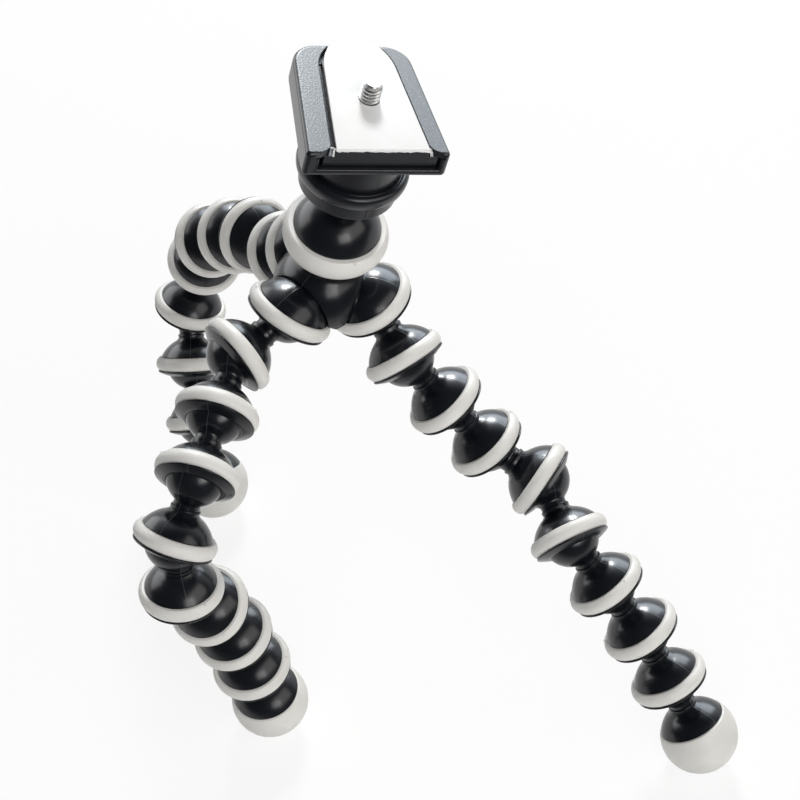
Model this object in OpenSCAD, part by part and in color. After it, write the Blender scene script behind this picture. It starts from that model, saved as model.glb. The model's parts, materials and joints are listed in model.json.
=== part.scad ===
// Flexible leg tripod: three chains of ball-and-cup links on a hub, and a tilting
// quick-release head with a camera screw. Millimetres, +Z up, standing on its feet.

/* [Ball and cup] */
// Diameter of the ball at the start of each link
ball_d = 18.4; // [17:0.1:18.6]
// Gap between a ball and the cup that holds it
cup_gap = 0.12; // [0.08:0.01:0.2]
// Diameter of the waist between a ball and its dome
waist_d = 8.4; // [7:0.1:9]
// Furthest a link bends against the one before it, in degrees
bend_limit = 38; // [37:0.5:40]
// Room left between a waist and the cup's mouth at full bend
bend_gap = 0.35; // [0.25:0.05:0.6]
// Distance from one ball to the next along a leg
link_pitch = 20.8; // [20.5:0.1:23]
// Wall between a leg's cup and the seat of its ring
cup_wall = 1.6; // [1.4:0.1:2]
// Step from a ring's seat up to the dome
dome_step = 0.15; // [0.1:0.05:0.4]
// Distance from a dome's wide edge to the centre of its curve
dome_drop = 5.6; // [4.5:0.1:5.8]
// Radius of the flare between a waist and its dome
flare_r = 2; // [1:0.1:2.5]
// Thickness of the lip, measured out from the ring's seat
lip_t = 1.45; // [1.2:0.05:1.8]
// Height of the lip's outer edge below its ring
lip_edge = 0.5; // [0.3:0.05:1]
// Depth of a cup's mouth below its ring
lip_depth = 1.85; // [1.5:0.05:2.4]

/* [Grip rings] */
// Thickness of a rubber ring, measured out from its seat
ring_t = 2.28; // [1.8:0.05:2.8]
// Width of a ring along its link
ring_w = 4.85; // [4:0.05:5.5]
// Rise of a ring's crown above its edges
ring_crown = 1.2; // [0.6:0.05:1.6]
// Distance from a ring's dome edge to the ball centre in its cup
ring_rise = 3.1; // [2.6:0.05:3.4]
// Gap between a ring and its seat
ring_gap = 0.05; // [0.03:0.01:0.1]

/* [Feet] */
// Diameter of a rubber ball foot
foot_d = 25.5; // [24.5:0.1:28]
// Diameter of the plug inside a foot
plug_d = 15; // [10:0.5:18]
// Length of the plug inside a foot
plug_len = 9; // [6:0.5:11]
// Step from a dome out to the foot
foot_step = 0.2; // [0.1:0.05:0.4]

/* [Hub] */
// Angle of each leg socket from straight down, in degrees
root_angle = 37; // [36:1:42]
// Distance from the hub's centre to each leg socket's ball centre
root_reach = 25.2; // [25:0.1:28]
// Wall between a leg socket and the seat of its ring
root_wall = 2.5; // [1.8:0.1:2.8]
// Height of the neck ring's middle above the hub's centre
neck_ring_z = 7; // [5:0.5:9]
// Width of the neck ring along the hub's axis
neck_ring_w = 7.6; // [6:0.1:8.5]
// Thickness of the neck ring, measured out from its seat
neck_ring_t = 2.9; // [2.2:0.1:3.4]
// Wall that brings the neck ring's seat out from a leg cup's bore
neck_wall = 3.9; // [3:0.1:4.4]
// Distance from the neck dome's wide edge to the centre of its curve
neck_drop = 4; // [3.5:0.1:6]
// Distance from the neck dome's wide edge to the neck ball
neck_len = 19; // [18.8:0.1:22]
// Radius of the core's round shoulder between the sockets
core_r = 15.4; // [14.5:0.1:16]
// Distance from the hub's centre down to the centre of that round
core_drop = 19.7; // [18.5:0.1:21]
// Depth of the core's flat tip below the hub's centre
core_depth = 23; // [21.5:0.5:25]
// Diameter of the stem between core and neck
stem_d = 16; // [12:0.5:18]

/* [Head] */
// Furthest the head tilts on the neck ball, in degrees
head_limit = 35; // [20:1:35]
// Tilt of the head at rest, in degrees
head_tilt = 6; // [0:1:20]
// Direction of that tilt round the hub, in degrees
head_tilt_toward = 75; // [0:5:355]
// Turn of the head round the hub, in degrees
head_turn = 23; // [0:1:45]
// Diameter of the band round the head's cup
band_d = 29.2; // [28:0.1:30]
// Height of the band's lower edge above the neck ball
band_z = -0.2; // [-0.5:0.1:1]
// Diameter of the head's collar
collar_d = 33.2; // [31:0.1:35]
// Width of the collar
collar_w = 4.8; // [4:0.1:7]
// Height of the collar's middle above the neck ball
collar_z = 7.5; // [6.5:0.1:9]
// Diameter of the post between collar and receiver
post_d = 28; // [25:0.5:28.5]

/* [Receiver] */
// Height of the receiver's underside above the neck ball
receiver_z = 20; // [19:0.5:24]
// Height of the receiver
receiver_h = 8.6; // [8.2:0.1:11]
// Width of the receiver at its open front
front_w = 42; // [40:0.5:46]
// Width of the receiver at its back
back_w = 34.2; // [32:0.2:37]
// Length of the receiver from front to back
receiver_len = 44.5; // [42:0.5:50]
// Distance from the neck's axis to the receiver's front
front_reach = 16.9; // [15:0.1:20]
// Radius of the receiver's back corners
corner_r = 7.5; // [4:0.5:8]
// Thickness of the receiver's floor
floor_t = 2.3; // [2:0.1:2.8]
// Width of the wall beside the plate's foot
wall_t = 3.4; // [2.6:0.1:4]
// Width of a rail's top
rail_w = 6.55; // [6:0.05:7.5]
// Thickness of a rail over the plate's foot
rail_t = 2.2; // [1.8:0.1:2.8]
// Distance of the slot's middle to the right of the receiver's middle
slot_x = 0.85; // [0:0.05:1.4]
// Length of the sloped stops at the receiver's back
stop_len = 6; // [4:0.1:7]
// Width of the opening between the stops
stop_gap_w = 14.6; // [12:0.1:16]
// Length of the sloped front ends of the rails
nose_len = 2.4; // [1.5:0.1:3]
// Distance that the rails' front ends draw apart
nose_w = 4.5; // [3:0.1:5]

/* [Quick-release plate] */
// Gap between the plate and the receiver, at the sides and the top
plate_gap = 0.25; // [0.15:0.05:0.5]
// Extra room to the left of the plate, which rests against the right rail
plate_play = 0.95; // [0.5:0.05:1.4]
// Gap between the plate's underside and the receiver's floor
plate_lift = 0.1; // [0.05:0.05:0.3]
// Thickness of the white pad
pad_t = 1; // [0.6:0.1:1.6]
// Height of the pad's top above the rails
pad_proud = 0.4; // [0.2:0.1:1]
// Distance of the plate's front behind the receiver's front
plate_recess = 1.5; // [0.5:0.1:3]

/* [Camera screw] */
// Diameter of the camera thread
screw_d = 6.35; // [6.35:0.05:9.55]
// Length of thread above the pad
screw_len = 6.2; // [4.5:0.1:8]
// Diameter of the screw's shank inside the plate
shank_d = 5; // [4:0.1:6]
// Gap between the screw and the plate
screw_gap = 0.1; // [0.05:0.05:0.2]
// Diameter of the screw's head under the plate
screw_head_d = 14; // [10:0.5:15]
// Thickness of the screw's head
screw_head_t = 2; // [1.2:0.1:2.4]
// Distance of the screw behind the neck's axis
screw_back = 5; // [0:0.1:8]

/* [Stance] */
// Heading of the front view round the hub, in degrees
front_heading = 10; // [0:1:30]

/* [Hidden] */
$fa = 4;
$fs = 0.4;

leg_names = ["right", "left", "back"];
leg_heading = [0, -120, 120];
links = 8;

// How each leg is bent by hand, joint by joint from the hub: the direction of the bend
// round the link before it, and the bend, in degrees
leg_bends = [
    [[-120, 34], [85, 22], [-155, 1], [-155, 29], [-65, 32], [65, 34], [35, 3], [-55, 7], [-50, 1]],
    [[-170, 37], [100, 34], [50, 1], [-10, 36], [25, 36], [20, 34], [180, 12], [-150, 6], [-80, 2]],
    [[85, 4], [160, 20], [-20, 18], [50, 5], [-35, 22], [30, 35], [-5, 36], [-55, 7], [-155, 7]],
];

black = "#16181d";
white = "#e9e6df";
steel = "#b9bcc0";

ball_r = ball_d / 2;
cavity_r = ball_r + cup_gap;
waist_r = waist_d / 2;
foot_r = foot_d / 2;
plug_r = plug_d / 2;
ring_low = ring_w - ring_rise;
lip_low = ring_low + lip_depth;

function seat_r(wall) = cavity_r + wall;
function dome_r(wall) = seat_r(wall) + dome_step;
function lip_r(wall) = seat_r(wall) + lip_t;

link_edge = link_pitch - ring_rise;
foot_z = link_edge + sqrt(foot_r * foot_r - pow(dome_r(cup_wall) + foot_step, 2));
neck_cup_z = neck_ring_z - neck_ring_w / 2 + ring_low;
neck_ball_z = neck_ring_z + neck_ring_w / 2 + neck_len;

// Placing matrices
function shift(v) = [[1, 0, 0, v[0]], [0, 1, 0, v[1]], [0, 0, 1, v[2]], [0, 0, 0, 1]];
function turn_y(a) = [[cos(a), 0, sin(a), 0], [0, 1, 0, 0], [-sin(a), 0, cos(a), 0], [0, 0, 0, 1]];
function turn_z(a) = [[cos(a), -sin(a), 0, 0], [sin(a), cos(a), 0, 0], [0, 0, 1, 0], [0, 0, 0, 1]];
function bend(toward, angle) = turn_z(toward) * turn_y(angle) * turn_z(-toward);
function point(m, v) = [for (i = [0:2]) (m * [v[0], v[1], v[2], 1])[i]];
function along(m) = [for (i = [0:2]) m[i][2]];

// Places measured from the hub's centre, with the hub's axis upright
function root_place(leg) = turn_z(leg_heading[leg]) * turn_y(180 - root_angle) * shift([0, 0, root_reach]);
function link_place(leg, i) =
    let (b = leg_bends[leg][i])
    (i == 0 ? root_place(leg) : link_place(leg, i - 1) * shift([0, 0, link_pitch])) * bend(b[0], b[1]);
neck_place = shift([0, 0, neck_cup_z]) * turn_y(180);
head_place = shift([0, 0, neck_ball_z]) * bend(head_tilt_toward, head_tilt) * turn_z(head_turn);
plate_x = slot_x + plate_play / 2;
slot_place = head_place * shift([plate_x, 0, 0]);

// The stance turns the three feet onto one level floor
feet = [for (leg = [0:2]) point(link_place(leg, links), [0, 0, foot_z])];
function unit(v) = v / norm(v);
feet_cross = cross(feet[2] - feet[0], feet[1] - feet[0]);
up = unit(feet_cross * sign(feet_cross[2]));
heading = [cos(front_heading), sin(front_heading), 0];
side_axis = unit(heading - (heading * up) * up);
front_axis = cross(up, side_axis);
level = [concat(side_axis, [0]), concat(front_axis, [0]), concat(up, [0]), [0, 0, 0, 1]];

// The middle of the floor plan, from the reach of every ring, foot and receiver corner
ring_rim = seat_r(cup_wall) + ring_t;
function rim_reach(n, r) = [for (i = [0:1]) r * sqrt(max(0, 1 - n[i] * n[i]))];
ring_spots = [for (leg = [0:2]) for (i = [0:links - 1])
    let (m = level * link_place(leg, i))
    [point(m, [0, 0, link_edge + ring_w / 2]), rim_reach(along(m), ring_rim)]];
foot_spots = [for (f = feet) [point(level, f), [foot_r, foot_r]]];
receiver_spots = [for (x = [-1, 1]) for (z = [receiver_z, receiver_z + receiver_h])
    for (end = [[front_w, -front_reach], [back_w - corner_r, receiver_len - front_reach]])
    [point(level * head_place, [x * end[0] / 2, end[1], z]), [0, 0]]];
spots = concat(ring_spots, foot_spots, receiver_spots);
low = [for (i = [0:1]) min([for (s = spots) s[0][i] - s[1][i]])];
high = [for (i = [0:1]) max([for (s = spots) s[0][i] + s[1][i]])];
floor_z = point(level, feet[0])[2] - foot_r;
stance = shift([-(low[0] + high[0]) / 2, -(low[1] + high[1]) / 2, -floor_z]) * level;

// Receiver plan: places along its length, and the slope of its sides
front_y = -front_reach;
back_y = receiver_len - front_reach;
stop_y = back_y - stop_len;
plate_front = front_y + plate_recess;
plate_back = stop_y - plate_gap;
plate_inset = plate_gap + plate_play / 2;
// How far a cut runs past the face that it opens
cut = 4 * plate_gap;
function side_x(y) = (front_w + (back_w - front_w) * (y - front_y) / receiver_len) / 2;
side_stretch = norm([receiver_len, (front_w - back_w) / 2]) / receiver_len;
receiver_top = receiver_z + receiver_h;
floor_top = receiver_z + floor_t;
rail_low = receiver_top - rail_t;
plate_low = floor_top + plate_lift;
flange_top = rail_low - plate_gap;
pad_top = receiver_top + pad_proud;
plate_top = pad_top - pad_t;

// Half outline of a dome with its wide edge at the origin, and the flare from it to its waist
// behind it along -Y
module dome_outline(wall, drop) {
    curve_r = norm([dome_r(wall), drop]);
    flare_x = waist_r + flare_r;
    flare_y = drop - sqrt(pow(curve_r + flare_r, 2) - flare_x * flare_x);
    touch = [flare_x, flare_y - drop] * curve_r / (curve_r + flare_r);
    intersection() {
        translate([0, drop])
            circle(curve_r);
        translate([0, drop - curve_r])
            square([dome_r(wall), curve_r - drop]);
    }
    difference() {
        polygon([[0, flare_y], [flare_x, flare_y], [touch[0], touch[1] + drop], [0, touch[1] + drop]]);
        translate([flare_x, flare_y])
            circle(flare_r);
    }
}

// Half outline of a ring's seat and the sloped lip below it, with the ball centre at the origin
module lip_outline(wall, width) {
    mouth_r = sqrt(cavity_r * cavity_r - lip_low * lip_low) + cup_wall / 2;
    translate([0, ring_low - width])
        square([seat_r(wall), width]);
    polygon([
        [0, ring_low], [lip_r(wall), ring_low], [lip_r(wall), ring_low + lip_edge],
        [mouth_r, lip_low], [0, lip_low],
    ]);
}

// Half outline of the hollow in a cup: the ball's seat, and a mouth that lets the waist swing
module hollow_outline(limit) {
    mouth_start = (waist_r + bend_gap) / cos(limit);
    mouth_end = 2 * lip_low;
    intersection() {
        circle(cavity_r);
        translate([0, -cavity_r])
            square([cavity_r, 2 * cavity_r]);
    }
    polygon([[0, 0], [mouth_start, 0], [mouth_start + mouth_end * tan(limit), mouth_end], [0, mouth_end]]);
}

// Half outline of a ball at the origin with its waist reaching up to a dome
module ball_outline(waist_end) {
    intersection() {
        circle(ball_r);
        translate([0, -ball_r])
            square([ball_r, 2 * ball_r]);
    }
    square([waist_r, waist_end]);
}

// A leg link with its ball at the origin and its cup along +Z
module link() {
    color(black)
        rotate_extrude()
            difference() {
                union() {
                    ball_outline(link_edge);
                    translate([0, link_edge])
                        dome_outline(cup_wall, dome_drop);
                    translate([0, link_pitch])
                        lip_outline(cup_wall, ring_w);
                }
                translate([0, link_pitch])
                    hollow_outline(bend_limit);
            }
}

// A rubber ring on a seat, with the ball centre of its cup at the origin
module grip_ring(wall, width, thickness) {
    half_w = width / 2;
    crown_r = (half_w * half_w + ring_crown * ring_crown) / (2 * ring_crown);
    color(white)
        rotate_extrude()
            intersection() {
                translate([seat_r(wall) + thickness - crown_r, ring_low - half_w])
                    circle(crown_r);
                translate([seat_r(wall) + ring_gap, ring_low - width + ring_gap])
                    square([thickness, width - 2 * ring_gap]);
            }
}

// The last link of a leg: ball, dome, and a plug for the foot
module foot_link() {
    color(black)
        rotate_extrude() {
            ball_outline(link_edge);
            translate([0, link_edge])
                dome_outline(cup_wall, dome_drop);
            translate([0, link_edge - 1])
                square([plug_r, plug_len + 1]);
        }
}

// A rubber ball foot on its plug
module foot() {
    color(white)
        rotate_extrude()
            difference() {
                intersection() {
                    translate([0, foot_z])
                        circle(foot_r);
                    translate([0, link_edge + ring_gap])
                        square([foot_r, 2 * foot_r]);
                }
                square([plug_r + ring_gap, link_edge + plug_len + ring_gap]);
            }
}

// Half outline of the hub on its own axis: a round core with a flat tip, its stem, the neck, and the
// ball on top
module hub_outline() {
    intersection() {
        translate([0, -core_drop])
            circle(core_r);
        translate([0, -core_depth])
            square([core_r, core_depth]);
    }
    translate([0, -core_drop])
        square([stem_d / 2, core_drop + neck_cup_z - ring_low]);
    translate([0, neck_cup_z])
        mirror([0, 1]) {
            lip_outline(neck_wall, neck_ring_w);
            translate([0, ring_low - neck_ring_w])
                dome_outline(neck_wall, neck_drop);
        }
    translate([0, neck_ball_z])
        mirror([0, 1])
            ball_outline(neck_len);
}

// The hub: core, neck and ball, and three leg sockets. The core ends at the planes of their rings.
module hub() {
    color(black)
        difference() {
            union() {
                difference() {
                    rotate_extrude()
                        hub_outline();
                    for (leg = [0:2])
                        multmatrix(root_place(leg))
                            translate([0, 0, -ring_rise - ring_gap])
                                cylinder(h = core_depth, r = 2 * core_r);
                }
                for (leg = [0:2])
                    multmatrix(root_place(leg))
                        rotate_extrude() {
                            translate([0, -ring_rise])
                                dome_outline(root_wall, dome_drop);
                            lip_outline(root_wall, ring_w);
                        }
            }
            for (leg = [0:2])
                multmatrix(root_place(leg))
                    rotate_extrude()
                        hollow_outline(bend_limit);
        }
}

// The four rubber rings on the hub
module hub_rings() {
    for (leg = [0:2])
        multmatrix(root_place(leg))
            grip_ring(root_wall, ring_w, ring_t);
    multmatrix(neck_place)
        grip_ring(neck_wall, neck_ring_w, neck_ring_t);
}

// Half outline of the head's cup, collar and post, with the neck ball at the origin
module head_outline() {
    collar_half = collar_w / 2;
    mirror([0, 1])
        lip_outline(cup_wall, ring_w);
    translate([0, band_z])
        square([band_d / 2, collar_z - band_z]);
    translate([0, collar_z])
        square([post_d / 2, receiver_z - collar_z]);
    intersection() {
        translate([collar_d / 2 - collar_half, collar_z])
            circle(collar_half);
        translate([0, collar_z - collar_half])
            square([collar_d / 2, collar_w]);
    }
}

// Plan of the receiver, with its two back corners rounded
module receiver_plan() {
    round_y = back_y - corner_r;
    round_x = side_x(round_y) - corner_r * side_stretch;
    lean = atan((front_w - back_w) / 2 / receiver_len);
    touch = [round_x + corner_r * cos(lean), round_y + corner_r * sin(lean)];
    polygon([
        [-front_w / 2, front_y], [front_w / 2, front_y], touch, [round_x, back_y],
        [-round_x, back_y], [-touch[0], touch[1]],
    ]);
    for (x = [-round_x, round_x])
        translate([x, round_y])
            circle(corner_r);
}

// Tapered strip from one Y to another, held in from the receiver's sides
module strip_plan(inset, from_y, to_y) {
    a = side_x(from_y) - inset;
    b = side_x(to_y) - inset;
    polygon([[-a, from_y], [a, from_y], [b, to_y], [-b, to_y]]);
}

// Tongue of the plate and pad, which narrows between the stops
module tongue_plan() {
    a = side_x(plate_back) - rail_w - plate_inset;
    b = stop_gap_w / 2 - plate_gap;
    polygon([
        [-a, plate_back], [cut - a, plate_back - cut], [a - cut, plate_back - cut],
        [a, plate_back], [b, back_y], [-b, back_y],
    ]);
}

// Opening between the rails: it widens at the front ends of the rails and narrows between the stops
module opening_plan() {
    a = side_x(front_y) - rail_w + nose_w;
    b = side_x(front_y + nose_len) - rail_w;
    c = side_x(stop_y) - rail_w;
    from_x = plate_x - slot_x - stop_gap_w / 2;
    to_x = plate_x - slot_x + stop_gap_w / 2;
    polygon([
        [-a, front_y - cut], [a, front_y - cut], [a, front_y], [b, front_y + nose_len], [c, stop_y],
        [to_x, back_y], [to_x, back_y + cut], [from_x, back_y + cut], [from_x, back_y],
        [-c, stop_y], [-b, front_y + nose_len], [-a, front_y],
    ]);
}

// The head: a cup on the neck ball and the receiver with its T-slot
module head() {
    color(black)
        difference() {
            union() {
                rotate_extrude()
                    head_outline();
                translate([0, 0, receiver_z])
                    linear_extrude(receiver_h)
                        receiver_plan();
            }
            rotate([180, 0, 0])
                rotate_extrude()
                    hollow_outline(head_limit);
            translate([slot_x, 0, floor_top])
                linear_extrude(rail_low - floor_top)
                    strip_plan(wall_t, front_y - cut, stop_y);
            translate([slot_x, 0, rail_low])
                linear_extrude(rail_t + cut)
                    opening_plan();
        }
}

// Hole through the plate for the screw, with a recess for its head underneath
module screw_hole() {
    translate([0, screw_back, plate_low - cut])
        cylinder(h = plate_top - plate_low + 2 * cut, d = shank_d + 2 * screw_gap);
    translate([0, screw_back, plate_low - cut])
        cylinder(h = screw_head_t + 2 * screw_gap + cut, d = screw_head_d + 2 * screw_gap);
}

// The T-section plate that slides in the receiver
module slide_plate() {
    color(black)
        difference() {
            union() {
                translate([0, 0, plate_low])
                    linear_extrude(flange_top - plate_low)
                        strip_plan(wall_t + plate_inset, plate_front, plate_back);
                translate([0, 0, plate_low])
                    linear_extrude(plate_top - plate_low)
                        strip_plan(rail_w + plate_inset, plate_front, plate_back);
                translate([0, 0, rail_low + plate_gap])
                    linear_extrude(plate_top - rail_low - plate_gap)
                        tongue_plan();
            }
            screw_hole();
        }
}

// The white pad on the plate
module plate_pad() {
    color(white)
        difference() {
            translate([0, 0, plate_top])
                linear_extrude(pad_t)
                    union() {
                        strip_plan(rail_w + plate_inset, plate_front, plate_back);
                        tongue_plan();
                    }
            translate([0, screw_back, plate_top - cut])
                cylinder(h = pad_t + 2 * cut, d = screw_d + 2 * screw_gap);
        }
}

// The camera screw: head, shank and the free thread
module camera_screw() {
    color(steel)
        translate([0, screw_back, 0]) {
            translate([0, 0, plate_low + screw_gap])
                cylinder(h = screw_head_t, d = screw_head_d);
            translate([0, 0, plate_low + screw_gap])
                cylinder(h = pad_top - plate_low, d = shank_d);
            translate([0, 0, pad_top + screw_gap])
                cylinder(h = screw_len, d = screw_d);
        }
}

multmatrix(stance) hub();
multmatrix(stance) hub_rings();
multmatrix(stance * head_place) head();
multmatrix(stance * slot_place) slide_plate();
multmatrix(stance * slot_place) plate_pad();
multmatrix(stance * slot_place) camera_screw();

for (leg = [0:2]) {
    for (i = [1:links]) {
        multmatrix(stance * link_place(leg, i - 1)) link();
        multmatrix(stance * link_place(leg, i - 1) * shift([0, 0, link_pitch]))
                grip_ring(cup_wall, ring_w, ring_t);
    }
    multmatrix(stance * link_place(leg, links)) foot_link();
    multmatrix(stance * link_place(leg, links)) foot();
}
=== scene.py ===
# %% [markdown]
# # A tripod with bendable legs
#
# The tripod has three legs of ball-and-cup links, a white rubber ring on every cup, a hub that joins
# the legs, and a tilting head with a quick-release plate. Its solids and joints are packed already.
# This lesson loads them as a fixed frame and builds the finely shaped pieces that stand for them.

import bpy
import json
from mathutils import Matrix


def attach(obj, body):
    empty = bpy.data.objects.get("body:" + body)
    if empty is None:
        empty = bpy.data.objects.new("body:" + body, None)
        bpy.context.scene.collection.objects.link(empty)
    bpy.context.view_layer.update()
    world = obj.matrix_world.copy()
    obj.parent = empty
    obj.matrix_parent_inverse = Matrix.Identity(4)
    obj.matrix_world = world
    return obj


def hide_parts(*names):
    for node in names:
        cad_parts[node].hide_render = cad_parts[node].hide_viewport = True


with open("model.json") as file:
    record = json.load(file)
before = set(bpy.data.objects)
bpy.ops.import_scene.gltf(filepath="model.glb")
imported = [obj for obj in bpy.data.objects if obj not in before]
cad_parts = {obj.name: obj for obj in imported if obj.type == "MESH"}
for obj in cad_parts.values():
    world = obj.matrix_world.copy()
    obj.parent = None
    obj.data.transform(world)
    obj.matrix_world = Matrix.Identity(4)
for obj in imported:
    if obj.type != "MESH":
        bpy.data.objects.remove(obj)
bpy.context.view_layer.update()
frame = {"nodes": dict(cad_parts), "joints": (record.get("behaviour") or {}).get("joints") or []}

# %% The other modules
import json
import math

import bmesh
import bpy
from mathutils import Matrix, Vector, noise

MM = 0.001
print("Blender", bpy.app.version_string)

# %% [markdown]
# ## Where the pieces are
#
# Every ball of a leg is a joint of the frame, so the joints say where each link starts and where it
# points. A link could be placed by measuring its CAD mesh, but two joint positions give its axis
# exactly. The hub's axis runs from the middle of the three leg sockets to the ball under the head.

# %% Joint positions
NECK_BALL = 29.8
PITCH = 20.8
LEGS = ("right", "left", "back")
joints = {joint["name"]: joint for joint in frame["joints"]}


def joint_point(name):
    return Vector(joints[name]["pos_m"])


def place(origin, up):
    """Matrix that puts a piece made upright at the origin onto a point, along a direction."""
    return Matrix.Translation(origin) @ up.to_track_quat("Z", "Y").to_matrix().to_4x4()


roots = [joint_point(f"{leg}_bend_1") for leg in LEGS]
head_ball = joint_point("head_tilt")
hub_up = (head_ball - sum(roots, Vector()) / 3).normalized()
hub_centre = head_ball - NECK_BALL * MM * hub_up
hub_side = roots[0] - hub_centre
hub_x = (hub_side - hub_side.dot(hub_up) * hub_up).normalized()
hub_turn = Matrix((hub_x, hub_up.cross(hub_x), hub_up)).transposed()
hub_place = Matrix.Translation(hub_centre) @ hub_turn.to_4x4()
print("hub centre:", tuple(round(x, 4) for x in hub_centre))

# %% Link places along each leg
def middle_of(node):
    """Middle of a node's skin, weighted by area, which lies on the axis of a round node."""
    faces = frame["nodes"][node].data.polygons
    return sum((face.center * face.area for face in faces), Vector()) / sum(face.area for face in faces)


link_places = {}
for leg in LEGS:
    points = [joint_point(f"{leg}_bend_{i}") for i in range(1, 10)] + [middle_of(f"{leg}_foot")]
    link_places[leg] = [place(a, (b - a).normalized()) for a, b in zip(points, points[1:])]
print("links placed:", sum(len(places) for places in link_places.values()))

# %% The head's own frame
head_z = Vector(joints["screw_turn"]["axis"]).normalized()
head_y = -Vector(joints["plate_slide"]["axis"]).normalized()
head_x = head_y.cross(head_z).normalized()
head_place = Matrix.Translation(head_ball) @ Matrix((head_x, head_y, head_z)).transposed().to_4x4()
screw_at = head_place.inverted() @ joint_point("screw_turn")
plate_place = head_place @ Matrix.Translation((screw_at.x, 0, 0))
print("head leans", round(math.degrees(head_z.angle(Vector((0, 0, 1)))), 1), "degrees")

# %% [markdown]
# ## Drawing and turning
#
# Most pieces of this tripod are round about one axis, as they would be on a lathe. A half outline is
# drawn with a pen: straight strokes, arcs swung round a centre like a compass, and corners that are
# softened with a vertex bevel. One full spin then makes the solid.

# %% Pen and lathe
ARC_STEP = 5


def draw(path, closed=False):
    """Half outline in the XZ plane, in millimetres: a start, then lines (r, z, rounding) and arcs."""
    bm = bmesh.new()
    pen = bm.verts.new((path[0][0] * MM, 0, path[0][1] * MM))
    first, soft = pen, []
    for kind, *numbers in path[1:]:
        if kind == "line":
            tip = bm.verts.new((numbers[0] * MM, 0, numbers[1] * MM))
            bm.edges.new((pen, tip))
            pen = tip
            if len(numbers) > 2:
                soft.append((tip, numbers[2]))
        else:
            r, z, degrees = numbers
            swung = bmesh.ops.spin(
                bm, geom=[pen], cent=(r * MM, 0, z * MM), axis=(0, -1, 0), dvec=(0, 0, 0),
                angle=math.radians(degrees), steps=max(3, round(abs(degrees) / ARC_STEP)),
                use_merge=False, use_normal_flip=False, use_duplicate=False,
            )
            pen = [part for part in swung["geom_last"] if isinstance(part, bmesh.types.BMVert)][0]
    if closed:
        bm.edges.new((pen, first))
    for corner, rounding in soft:
        bmesh.ops.bevel(
            bm, geom=[corner], offset=rounding * MM, offset_type="OFFSET", segments=4, profile=0.5,
            affect="VERTICES", clamp_overlap=True, material=-1,
        )
    return bm


def turn(path, closed=False, steps=88):
    """A solid of revolution round Z from a half outline."""
    bm = draw(path, closed)
    bmesh.ops.spin(
        bm, geom=bm.verts[:] + bm.edges[:], cent=(0, 0, 0), axis=(0, 0, 1), dvec=(0, 0, 0),
        angle=math.tau, steps=steps, use_merge=True, use_normal_flip=False, use_duplicate=False,
    )
    bmesh.ops.remove_doubles(bm, verts=bm.verts[:], dist=1e-6)
    bmesh.ops.recalc_face_normals(bm, faces=bm.faces[:])
    return bm


def degrees_between(centre, a, b):
    """Swing from point a to point b round a centre, in degrees, taking the short way."""
    start = math.atan2(a[1] - centre[1], a[0] - centre[0])
    end = math.atan2(b[1] - centre[1], b[0] - centre[0])
    return math.degrees((end - start + math.pi) % math.tau - math.pi)


print("pen and lathe ready, arcs in steps of", ARC_STEP, "degrees")

# %% [markdown]
# A finished piece keeps its own upright coordinates in an attribute called home, so that a finish can
# follow the piece, and then its mesh is moved into place. Its object stays at the origin.

# %% Keeping a piece
def keep(name, bm, where, body, slot, material, *nodes, sharp=32, home_of=Vector, flat=False):
    """Makes the object of a finished piece, rides it on its body and hides the CAD nodes it replaces."""
    home = bm.verts.layers.float_vector.new("home")
    for v in bm.verts:
        v[home] = home_of(v.co)
    bm.transform(where)
    mesh = bpy.data.meshes.new(name)
    bm.to_mesh(mesh)
    bm.free()
    mesh.shade_smooth()
    mesh.set_sharp_from_angle(angle=math.radians(sharp))
    mesh.materials.append(material)
    piece = bpy.data.objects.new(name, mesh)
    bpy.context.scene.collection.objects.link(piece)
    if flat:
        piece.modifiers.new("flat_faces", "WEIGHTED_NORMAL").keep_sharp = True
    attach(piece, body)
    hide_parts(*nodes)


def join(bm, other):
    """Adds the mesh of another bmesh, which is then freed."""
    spare = bpy.data.meshes.new("spare")
    other.to_mesh(spare)
    bm.from_mesh(spare)
    bpy.data.meshes.remove(spare)
    other.free()


print("each piece keeps its own coordinates as home")

# %% [markdown]
# ## Finishes
#
# Moulded plastic and rubber are never quite even. Two effects are shared by several finishes, so each
# is a node group: a skin with slow mottling, fine grain and specks, and the thin parting line that the
# two halves of a mould leave on a piece.

# %% Shared skin group
def new_group(name, inputs, outputs):
    group = bpy.data.node_groups.new(name, "ShaderNodeTree")
    for label, kind in inputs:
        group.interface.new_socket(name=label, in_out="INPUT", socket_type=kind)
    for label in outputs:
        group.interface.new_socket(name=label, in_out="OUTPUT", socket_type="NodeSocketFloat")
    return group, group.nodes.new("NodeGroupInput"), group.nodes.new("NodeGroupOutput")


def add(tree, kind, **values):
    """A new node, with attributes and input sockets set by name."""
    node = tree.nodes.new(kind)
    for key, value in values.items():
        if hasattr(node, key):
            setattr(node, key, value)
        else:
            node.inputs[key.replace("_", " ")].default_value = value
    return node


def ramp(tree, value, low, high, start=0.0, end=1.0, smooth=False):
    """A value that runs from start to end while the given value runs from low to high."""
    node = add(tree, "ShaderNodeMapRange", interpolation_type="SMOOTHSTEP" if smooth else "LINEAR")
    for label, number in (("From Min", low), ("From Max", high), ("To Min", start), ("To Max", end)):
        node.inputs[label].default_value = number
    tree.links.new(value, node.inputs["Value"])
    return node.outputs["Result"]


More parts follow.
